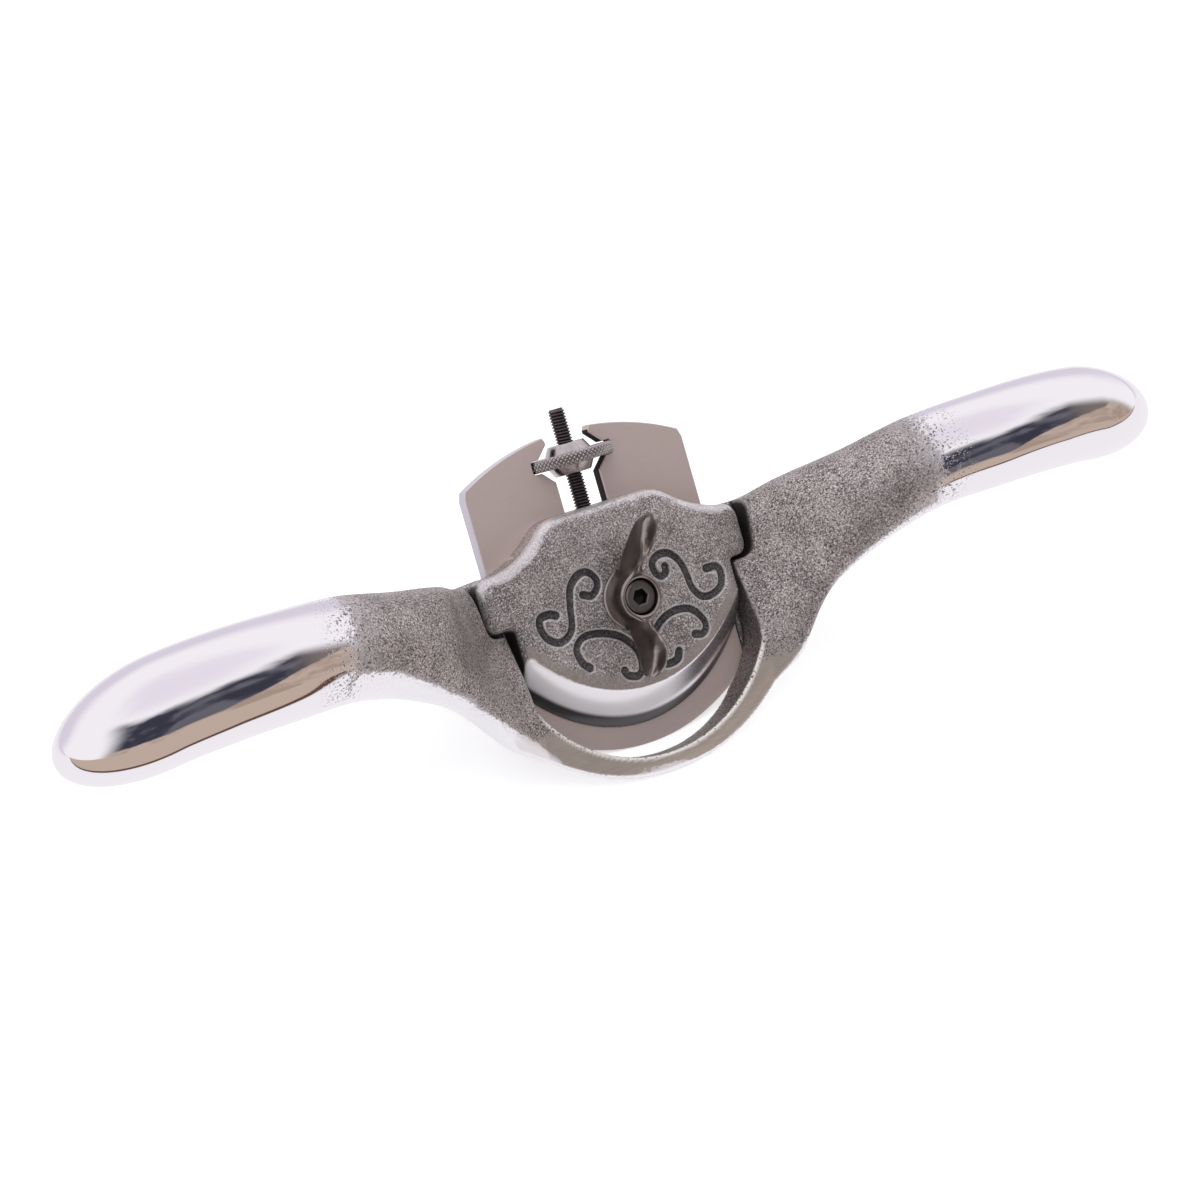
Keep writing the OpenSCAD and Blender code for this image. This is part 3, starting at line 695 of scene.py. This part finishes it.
def make_screw(material):
    """Lock screw: rings up a shank, over a round head and down a hexagon socket, s / cos(angle to flat)."""
    sides = 96
    angle = full_turn(sides)
    socket = SOCKET_HALF / np.cos(angle[0] % (math.pi / 3) - math.pi / 6)
    turned = [(SHANK_RADIUS, SHANK_FOOT), (SHANK_RADIUS, SCREW_SEAT), (HEAD_RADIUS - 0.2, SCREW_SEAT),
              (HEAD_RADIUS, SCREW_SEAT + 0.25), (HEAD_RADIUS, HEAD_TOP - 0.5),
              (HEAD_RADIUS - 0.1, HEAD_TOP - 0.2), (HEAD_RADIUS - 0.4, HEAD_TOP)]
    profile = [(np.full(sides, radius), place) for radius, place in turned]
    profile += [(socket + 0.25, HEAD_TOP), (socket, HEAD_TOP - 0.2), (socket, SOCKET_FLOOR),
                (0.3 * socket, SOCKET_FLOOR - 0.2)]
    r = np.stack([radius for radius, place in profile])
    w = np.repeat([[place] for radius, place in profile], sides, axis=1)
    row = np.arange(len(profile))
    # Socket walls and floor, which the material darkens as painted shade
    painted_socket_shade = np.interp(row, [7, 8, 9], [0, 0.9, 1])
    worn = np.interp(row, [2, 3, 5, 6, 7, 8, 9], [0, 0.3, 1, 0.6, 1, 0, 0])
    masks = {"crest": np.repeat(worn, sides), "painted_socket_shade": np.repeat(painted_socket_shade, sides)}
    make_piece("socket_screw", "lever", "lock_screw", material, off_bed(angle, r, w),
               ring_faces(*r.shape), end_caps(*r.shape), masks=masks, corner=28)


def make_nut(material):
    """Adjusting nut: two cones, and a disc whose rim carries a diamond knurl, cut by two crossing waves.

    A cut is deepest where sin(teeth / 2 angle + pi w) or sin(teeth / 2 angle - pi w) is 0.
    """
    angle = full_turn(720)
    rim = np.linspace(-DISC_HALF, DISC_HALF, 15)[1:-1]
    side = np.array([NUT_HALF, NUT_HALF, NUT_HALF - 0.15, DISC_HALF + 0.05, DISC_HALF])
    cone = [NUT_BORE, CONE_TOP_RADIUS - 0.15, CONE_TOP_RADIUS, CONE_FOOT_RADIUS, DISC_RADIUS]
    places = np.concatenate([-side, rim, side[::-1]])
    bases = np.concatenate([cone, np.full(len(rim), NUT_RADIUS), cone[::-1]])
    w = np.repeat(places[:, None], angle.size, axis=1)
    lean = math.pi * w
    waves = [np.abs(np.sin(KNURL_TEETH / 2 * angle + way * lean)) for way in (1, -1)]
    line = 1 - np.minimum(*waves)
    shoulder = (np.abs(w) / DISC_HALF) ** 4
    on_rim = (bases == NUT_RADIUS)[:, None]
    r = bases[:, None] - on_rim * (KNURL_DEPTH * line ** 2 * (1 - 0.6 * shoulder) + 0.5 * shoulder)
    # Knurl hollows, which the material darkens as painted shade
    masks = {"hollow": (on_rim * line ** 3).reshape(-1)}
    make_piece("knurled_nut", "depth_nut", "adjuster_nut", material, along_bed(angle, r, w + NUT_UP),
               ring_faces(*r.shape, closed=True, flip=True), masks=masks, corner=50)


# Materials

def tone(red, green, blue):
    """Linear colour of a tone given as 0 to 255 screen values."""
    value = np.array([red, green, blue]) / 255
    linear = np.where(value > 0.04045, ((value + 0.055) / 1.055) ** 2.4, value / 12.92)
    return (*linear.tolist(), 1.0)


def feed(tree, node, inputs):
    """Joins a node's inputs to sockets, or sets them.

    A word stands for the piece's mask of that name, and three numbers are a colour's screen values.
    """
    for key, value in inputs.items():
        wanted = node.inputs[key]
        if isinstance(value, str):
            value = add_node(tree, "Attribute", attribute_name=value).outputs["Fac"]
        if isinstance(value, bpy.types.NodeSocket):
            tree.links.new(value, wanted)
        elif wanted.type == "RGBA" and len(value) == 3:
            wanted.default_value = tone(*value)
        else:
            wanted.default_value = value


def add_node(tree, kind, inputs=(), **settings):
    """New node with its settings made, then its inputs fed."""
    made = tree.nodes.new("ShaderNode" + kind)
    for name, value in settings.items():
        setattr(made, name, value)
    feed(tree, made, dict(inputs))
    return made


def calculate(tree, operation, a, b=0.0):
    """Result of one arithmetic step on two values."""
    return add_node(tree, "Math", {0: a, 1: b}, operation=operation).outputs[0]


def times(tree, a, b):
    """Product of two values."""
    return calculate(tree, "MULTIPLY", a, b)


def plus(tree, a, b):
    """Sum of two values."""
    return calculate(tree, "ADD", a, b)


def minus(tree, a, b):
    """Difference of two values."""
    return calculate(tree, "SUBTRACT", a, b)


def ramp(tree, value, low, high, start=0.0, end=1.0):
    """Smooth step of a value between low and high, sent to start and end."""
    inputs = {"Value": value, "From Min": low, "From Max": high, "To Min": start, "To Max": end}
    return add_node(tree, "MapRange", inputs, interpolation_type="SMOOTHSTEP").outputs["Result"]


def blend(tree, share, first, second):
    """Colour that goes from first to second as share goes from 0 to 1."""
    return add_node(tree, "Mix", {0: share, 6: first, 7: second}, data_type="RGBA").outputs[2]


def cover(tree, colour, over, share, most=1.0):
    """Colour with another laid over it, by a share times the most that shows."""
    share = share if most == 1 else times(tree, share, most)
    return blend(tree, share, colour, over)


def between(tree, share, first, second):
    """Number that goes from first to second as share goes from 0 to 1."""
    return add_node(tree, "Mix", {0: share, 2: first, 3: second}, data_type="FLOAT").outputs[0]


def object_place(tree):
    """Place on the piece, in the object's own metres."""
    return add_node(tree, "TexCoord").outputs["Object"]


def noise(tree, place, size, detail=2.0, rough=0.5):
    """Noise from 0 to 1 whose features are about size millimetres across."""
    if isinstance(size, bpy.types.NodeSocket):
        scale = calculate(tree, "DIVIDE", 1 / MM, size)
    else:
        scale = 1 / (size * MM)
    inputs = {"Vector": place, "Scale": scale, "Detail": detail, "Roughness": rough}
    return add_node(tree, "TexNoise", inputs).outputs["Fac"]


def new_group(name, inputs, outputs):
    """Node group with float inputs and outputs. Returns it, the sockets it is given and its last node."""
    group = bpy.data.node_groups.new(name, "ShaderNodeTree")
    for socket, value in inputs.items():
        made = group.interface.new_socket(socket, in_out="INPUT", socket_type="NodeSocketFloat")
        made.default_value = value
    for socket in outputs:
        group.interface.new_socket(socket, in_out="OUTPUT", socket_type="NodeSocketFloat")
    return group, group.nodes.new("NodeGroupInput").outputs, group.nodes.new("NodeGroupOutput")


def grain_group():
    """Grain of a cast skin: a mottled tone, bright specks, dark pits, and their height."""
    group, given, sent = new_group("cast_grain", {"Size": 0.6}, ["Tone", "Specks", "Pits", "Height"])
    place, size = object_place(group), given["Size"]
    fine = noise(group, place, size, 4.0, 0.7)
    inputs = {"Vector": place, "Scale": calculate(group, "DIVIDE", 0.9 / MM, size)}
    cells = add_node(group, "TexVoronoi", inputs, feature="F1").outputs["Distance"]
    mottle = plus(group, times(group, fine, 0.82), times(group, noise(group, place, 7.0, 3.0), 0.18))
    pits = times(group, ramp(group, cells, 0.30, 0.12), ramp(group, fine, 0.55, 0.38))
    feed(group, sent, {"Tone": ramp(group, mottle, 0.39, 0.61), "Specks": ramp(group, fine, 0.56, 0.66),
                       "Pits": pits, "Height": minus(group, fine, times(group, pits, 0.6))})
    return group


def wear_group():
    """Wear along edges: an edge mask broken up by noise."""
    group, given, sent = new_group("edge_wear", {"Edge": 0.0, "Size": 1.2, "Spread": 0.5}, ["Wear"])
    broken = noise(group, object_place(group), given["Size"], 4.0, 0.7)
    shifted = times(group, minus(group, broken, 0.5), given["Spread"])
    feed(group, sent, {"Wear": ramp(group, plus(group, given["Edge"], shifted), 0.3, 0.8)})
    return group


def scratch_group():
    """Fine lines of grinding, noise drawn out eighty times along X after a turn about X, and broad stains."""
    group, given, sent = new_group("grinding_lines", {"Size": 0.12, "Turn": 0.0}, ["Lines", "Stains"])
    place = object_place(group)
    inputs = {"Vector": place, "Angle": given["Turn"]}
    turned = add_node(group, "VectorRotate", inputs, rotation_type="X_AXIS").outputs["Vector"]
    inputs = {"Vector": turned, "Scale": (0.012, 1.0, 1.0)}
    drawn = add_node(group, "Mapping", inputs).outputs["Vector"]
    lines = noise(group, drawn, given["Size"])
    stains = noise(group, place, 14.0, 5.0, 0.6)
    feed(group, sent, {"Lines": ramp(group, lines, 0.3, 0.7), "Stains": ramp(group, stains, 0.35, 0.7)})
    return group


GRAIN = grain_group()
WEAR = wear_group()
LINES = scratch_group()


def use_group(tree, group, **values):
    """A group placed in a material with its own values. Returns its outputs."""
    return add_node(tree, "Group", values, node_tree=group).outputs


def new_material(name):
    """Empty material. Returns it with its node tree, its Principled shader and Object coordinates."""
    material = bpy.data.materials.new(name)
    material.use_nodes = True
    tree = material.node_tree
    return material, tree, tree.nodes["Principled BSDF"], object_place(tree)


def join(tree, shader, colour, rough, metal, height, strength, distance):
    """Joins colour, roughness, metalness and a bump height to the shader."""
    inputs = {"Strength": strength, "Distance": distance * MM, "Height": height}
    bump = add_node(tree, "Bump", inputs)
    feed(tree, shader, {"Base Color": colour, "Roughness": rough, "Metallic": metal,
                        "Normal": bump.outputs["Normal"]})


def casting_material():
    """Grey grainy casting, mirror-bright on the grips and sole; the toe's outer rim is softly polished, its
    near-white a painted reflection.

    Noise eats into the polish where it ends, so the change is speckled and pitted. Creases get painted shade.
    """
    material, tree, shader, place = new_material("cast_metal")
    grain = use_group(tree, GRAIN, Size=0.34)
    wear = use_group(tree, WEAR, Edge="edge", Size=0.7, Spread=1.0)["Wear"]
    streaks = use_group(tree, LINES, Size=0.35)["Lines"]
    ragged = plus(tree, times(tree, noise(tree, place, 0.8, 4.0, 0.75), 1.3),
                  times(tree, noise(tree, place, 7.0), 0.35))
    bright = ramp(tree, minus(tree, times(tree, "polish", 1.7), ragged), -0.08, 0.2)
    ground = ramp(tree, plus(tree, "ground", noise(tree, place, 0.7, 4.0)), 1.0, 1.3)
    lip = times(tree, "lip", ramp(tree, noise(tree, place, 0.5, 3.0), 0.25, 0.42))
    pits = times(tree, ramp(tree, noise(tree, place, 0.5, 1.0), 0.40, 0.34), ramp(tree, "polish", 0.97, 0.6))
    pits = times(tree, pits, minus(tree, 1.0, ground))

    skin = blend(tree, grain["Tone"], (114, 106, 105), (202, 192, 190))
    skin = cover(tree, skin, (246, 240, 238), grain["Specks"], 0.85)
    skin = cover(tree, skin, (50, 44, 43), grain["Pits"])
    skin = cover(tree, skin, (206, 200, 202), ramp(tree, "polish", 0.05, 0.5), 0.45)
    skin = cover(tree, skin, (36, 31, 31), "shade", 0.92)
    skin = cover(tree, skin, blend(tree, streaks, (183, 171, 162), (193, 182, 173)), ground)
    skin = cover(tree, skin, (226, 220, 222), wear, 0.25)
    # Painted shade in concave creases
    skin = cover(tree, skin, (54, 47, 46), "painted_crease_shade", 0.6)
    skin = cover(tree, skin, (255, 252, 246), lip)
    colour = cover(tree, skin, (242, 239, 242), bright)
    colour = cover(tree, colour, (78, 70, 72), pits, 0.85)
    # Polished rims painted near-white and little metallic: a painted reflection of the pale surroundings
    colour = cover(tree, colour, (248, 245, 250), times(tree, "satin_and_painted_reflection", bright))

    rough = between(tree, bright, between(tree, grain["Tone"], 0.55, 0.38), 0.06)
    rough = plus(tree, rough, times(tree, "satin_and_painted_reflection", 0.12))
    metal = between(tree, bright, 0.65, between(tree, "satin_and_painted_reflection", 1.0, 0.25))
    height = times(tree, grain["Height"], between(tree, bright, 1.0, 0.0))
    height = times(tree, height, between(tree, ground, 1.0, 0.15))
    height = minus(tree, height, times(tree, pits, 0.8))
    join(tree, shader, colour, rough, metal, height, 0.8, 0.12)
    return material


def cap_material():
    """Dark grainy cap face with near-black scrolls and worn bright edges, brighter on the left shoulder as a
    painted highlight.

    Its polished front wall is painted near-white as a reflection, with a painted dark reflection along its
    foot, and its sides and creases get painted shade.
    """
    material, tree, shader, place = new_material("cap_metal")
    grain = use_group(tree, GRAIN, Size=0.34)
    wear = use_group(tree, WEAR, Edge="edge", Size=0.9, Spread=1.0)["Wear"]
    # Wear on the rounded rims, with a painted highlight on the left shoulder
    rubbed = use_group(tree, WEAR, Edge="rounded", Size=1.4, Spread=1.1)["Wear"]
    rubbed = times(tree, rubbed, between(tree, grain["Tone"], 0.55, 0.85))
    front = ramp(tree, plus(tree, "ground", noise(tree, place, 1.2, 4.0)), 1.0, 1.5)
    cut = times(tree, "groove", between(tree, grain["Tone"], 0.95, 0.7))

    skin = blend(tree, grain["Tone"], (104, 97, 97), (206, 198, 196))
    skin = cover(tree, skin, (250, 244, 242), grain["Specks"])
    skin = cover(tree, skin, (44, 39, 39), grain["Pits"])
    skin = cover(tree, skin, (166, 155, 150), front, 0.75)
    # Painted shade in concave creases
    skin = cover(tree, skin, (48, 44, 46), "painted_crease_shade", 0.35)
    skin = cover(tree, skin, (56, 54, 57), cut)
    skin = cover(tree, skin, (222, 216, 218), wear, 0.6)
    skin = cover(tree, skin, (226, 221, 224), rubbed)
    skin = cover(tree, skin, (34, 30, 31), "shade", 0.92)
    # Polished front wall painted near-white: a painted reflection
    colour = cover(tree, skin, (248, 244, 248), "polish")
    # Dark band along the front wall's foot: a painted dark reflection
    colour = cover(tree, colour, (34, 32, 36), "foot", 0.95)

    rough = between(tree, "polish", between(tree, rubbed, 0.45, 0.3), 0.2)
    metal = between(tree, "polish", 0.65, between(tree, "mirror", 0.3, 1.0))
    height = times(tree, grain["Height"], between(tree, "polish", 1.0, 0.0))
    height = times(tree, height, between(tree, rubbed, 1.0, 0.35))
    join(tree, shader, colour, rough, metal, height, 0.9, 0.15)
    return material


def iron_material():
    """Ground steel with fine lines across it, faint stains, painted shade on the walls of its slot, and pale
    sides.
    """
    material, tree, shader = new_material("blade_steel")[:3]
    ground = use_group(tree, LINES, Size=0.14, Turn=math.radians(-45))
    colour = blend(tree, ground["Lines"], (210, 192, 187), (215, 197, 192))
    colour = cover(tree, colour, (198, 180, 170), ground["Stains"], 0.55)
    colour = cover(tree, colour, (208, 202, 212), "side")
    # Painted shade on the slot's walls
    colour = cover(tree, colour, (34, 28, 31), "wall", 0.97)
    rough = between(tree, "wall", between(tree, ground["Stains"], 0.32, 0.42), 0.9)
    metal = between(tree, "wall", 0.5, 0.1)
    join(tree, shader, colour, rough, metal, ground["Lines"], 0.05, 0.01)
    return material


def lever_material():
    """Smooth brown-grey metal, rubbed bright along its rims, with painted shade in its creases."""
    material, tree, shader, place = new_material("lever_metal")
    wear = use_group(tree, WEAR, Edge="edge", Size=1.5, Spread=0.5)["Wear"]
    colour = blend(tree, noise(tree, place, 3.0, 4.0, 0.6), (66, 57, 56), (108, 98, 95))
    colour = cover(tree, colour, (176, 166, 162), wear, 0.7)
    # Painted shade in concave creases
    colour = cover(tree, colour, (40, 33, 32), "painted_crease_shade", 0.6)
    rough = between(tree, wear, 0.34, 0.22)
    join(tree, shader, colour, rough, 0.85, noise(tree, place, 0.5, 3.0), 0.25, 0.04)
    return material


def turned_steel(name, dark, light, crest, rough, metal):
    """Turned steel between two tones, lighter on crests, with painted shade in the knurl's hollows and the
    screw's socket.
    """
    material, tree, shader, place = new_material(name)
    painted_recess_shade = calculate(tree, "MAXIMUM", "hollow", "painted_socket_shade")
    colour = blend(tree, noise(tree, place, 0.9, 4.0), dark, light)
    colour = cover(tree, colour, crest, "crest", 0.7)
    # Painted shade in the knurl hollows and the screw socket
    colour = cover(tree, colour, (16, 14, 15), painted_recess_shade, 0.75)
    rough = between(tree, noise(tree, place, 1.2), rough - 0.07, rough + 0.07)
    join(tree, shader, colour, rough, metal, noise(tree, place, 0.3), 0.2, 0.02)
    return material


# Stage, light and camera

BLACK, WHITE = (0, 0, 0), (255, 255, 255)
FAR_SHEET = (224, 218, 230)
FLOOR_COLOUR, FLOOR_GLOW = (0.8, 0.8, 0.8, 1.0), (0.42, 0.42, 0.42, 1.0)


def make_floor():
    """White floor under the object, white to the camera apart from the object's shadow.

    Polished metal sees it as a pale sheet on a warm table, with a dark rim where the sheet ends.
    """
    half = 3.0
    mesh = bpy.data.meshes.new("floor")
    corners = [(-half, -half, 0), (half, -half, 0), (half, half, 0), (-half, half, 0)]
    mesh.from_pydata(corners, [], [(0, 1, 2, 3)])
    new_object("floor", mesh)
    material, tree, shader, place = new_material("white_floor")
    feed(tree, shader, {"Roughness": 1.0, "Specular IOR Level": 0.0, "Emission Strength": 1.0})
    split = add_node(tree, "SeparateXYZ", {0: place}).outputs
    beyond = calculate(tree, "DIVIDE", split["Y"], ramp(tree, split["X"], -0.12, 0.25, -0.05, -0.24))
    rim = ramp(tree, calculate(tree, "ABSOLUTE", minus(tree, beyond, 1.0)), 0.14, 0.07)
    room = blend(tree, ramp(tree, split["Y"], 0.08, 0.3), (250, 248, 251), FAR_SHEET)
    room = cover(tree, room, (198, 178, 164), ramp(tree, beyond, 0.97, 1.03))
    room = cover(tree, room, (96, 72, 60), rim)
    path = add_node(tree, "LightPath").outputs
    base = blend(tree, path["Is Glossy Ray"], FLOOR_COLOUR, BLACK)
    glow = blend(tree, path["Is Camera Ray"], BLACK, FLOOR_GLOW)
    feed(tree, shader, {"Base Color": base, "Emission Color": cover(tree, glow, room, path["Is Glossy Ray"])})
    mesh.materials.append(material)


def make_world():
    """White room. Metal also sees a dark wall over a warm table on the toe's side."""
    world = bpy.data.worlds.new("studio")
    bpy.context.scene.world = world
    world.use_nodes = True
    tree = world.node_tree
    direction = add_node(tree, "TexCoord").outputs["Generated"]
    split = add_node(tree, "SeparateXYZ", {0: direction}).outputs
    inputs = {"Vector": direction, "Scale": 3.0, "Detail": 6.0, "Roughness": 0.6}
    uneven = add_node(tree, "TexNoise", inputs).outputs["Fac"]
    rise = plus(tree, split["Z"], times(tree, uneven, 0.16))
    toe_side = times(tree, ramp(tree, split["Y"], -0.1, -0.4), ramp(tree, split["X"], -0.75, -0.45))
    wall = times(tree, ramp(tree, rise, 0.90, 0.76), toe_side)
    low = plus(tree, rise, ramp(tree, split["X"], 0.25, 0.65, 0.28, 0.0))
    table = times(tree, ramp(tree, low, 0.5, 0.46), toe_side)
    behind = times(tree, ramp(tree, split["Y"], 0.2, 0.7), ramp(tree, rise, 0.6, 0.2))
    dark = blend(tree, ramp(tree, uneven, 0.48, 0.64), (58, 59, 72), (104, 104, 113))
    dark = cover(tree, dark, (124, 115, 111), ramp(tree, split["X"], 0.55, 0.78))
    warm = blend(tree, ramp(tree, uneven, 0.45, 0.6), (198, 179, 165), (172, 152, 138))
    room = blend(tree, ramp(tree, rise, 0.85, 1.08), (254, 252, 255), (238, 232, 242))
    room = cover(tree, room, FAR_SHEET, behind)
    room = cover(tree, room, dark, wall)
    room = cover(tree, room, warm, table)
    path = add_node(tree, "LightPath").outputs
    seen = blend(tree, path["Is Glossy Ray"], (240, 240, 241), room)
    seen = cover(tree, seen, WHITE, path["Is Camera Ray"])
    feed(tree, tree.nodes["Background"], {"Color": seen, "Strength": 1.0})


def make_lamp():
    """Soft square lamp above the object, which polished metal doesn't mirror."""
    place = Vector((-0.12, 0.1, 0.85))
    light = bpy.data.lights.new("soft_lamp", "AREA")
    light.size = 0.6
    light.energy = 2.0
    lamp = new_object("soft_lamp", light)
    lamp.location = place
    lamp.rotation_euler = (-place).to_track_quat("-Z", "Y").to_euler()
    lamp.visible_glossy = False


def make_camera():
    """Camera at the photograph's place, turned about its own axis as the photograph is."""
    place = Vector((-0.264999, -0.302249, 0.409119))
    target = Vector((-0.002268, 0.023806, 0.0215))
    roll = math.radians(10.3527)
    camera = new_object("camera", bpy.data.cameras.new("camera"))
    camera.data.lens = 80.922
    camera.data.sensor_width = 36.0
    camera.location = place
    camera.rotation_mode = "QUATERNION"
    camera.rotation_quaternion = (target - place).to_track_quat("-Z", "Y") @ Quaternion((0, 0, 1), roll)
    bpy.context.scene.camera = camera


bpy.context.scene.view_settings.view_transform = "Standard"
make_camera()
make_world()
make_floor()
make_lamp()

make_casting(casting_material())
make_cap(cap_material())
make_lever(lever_material())
make_iron(iron_material())
make_stud(turned_steel("stud_steel", (34, 28, 30), (58, 50, 52), (122, 112, 112), 0.36, 0.8))
make_screw(turned_steel("screw_steel", (70, 62, 60), (104, 95, 91), (150, 141, 136), 0.3, 0.85))
make_spindle(turned_steel("spindle_steel", (84, 80, 80), (112, 108, 106), (160, 155, 152), 0.32, 1.0))
make_nut(turned_steel("nut_steel", (168, 162, 161), (212, 206, 205), (236, 232, 231), 0.25, 1.0))
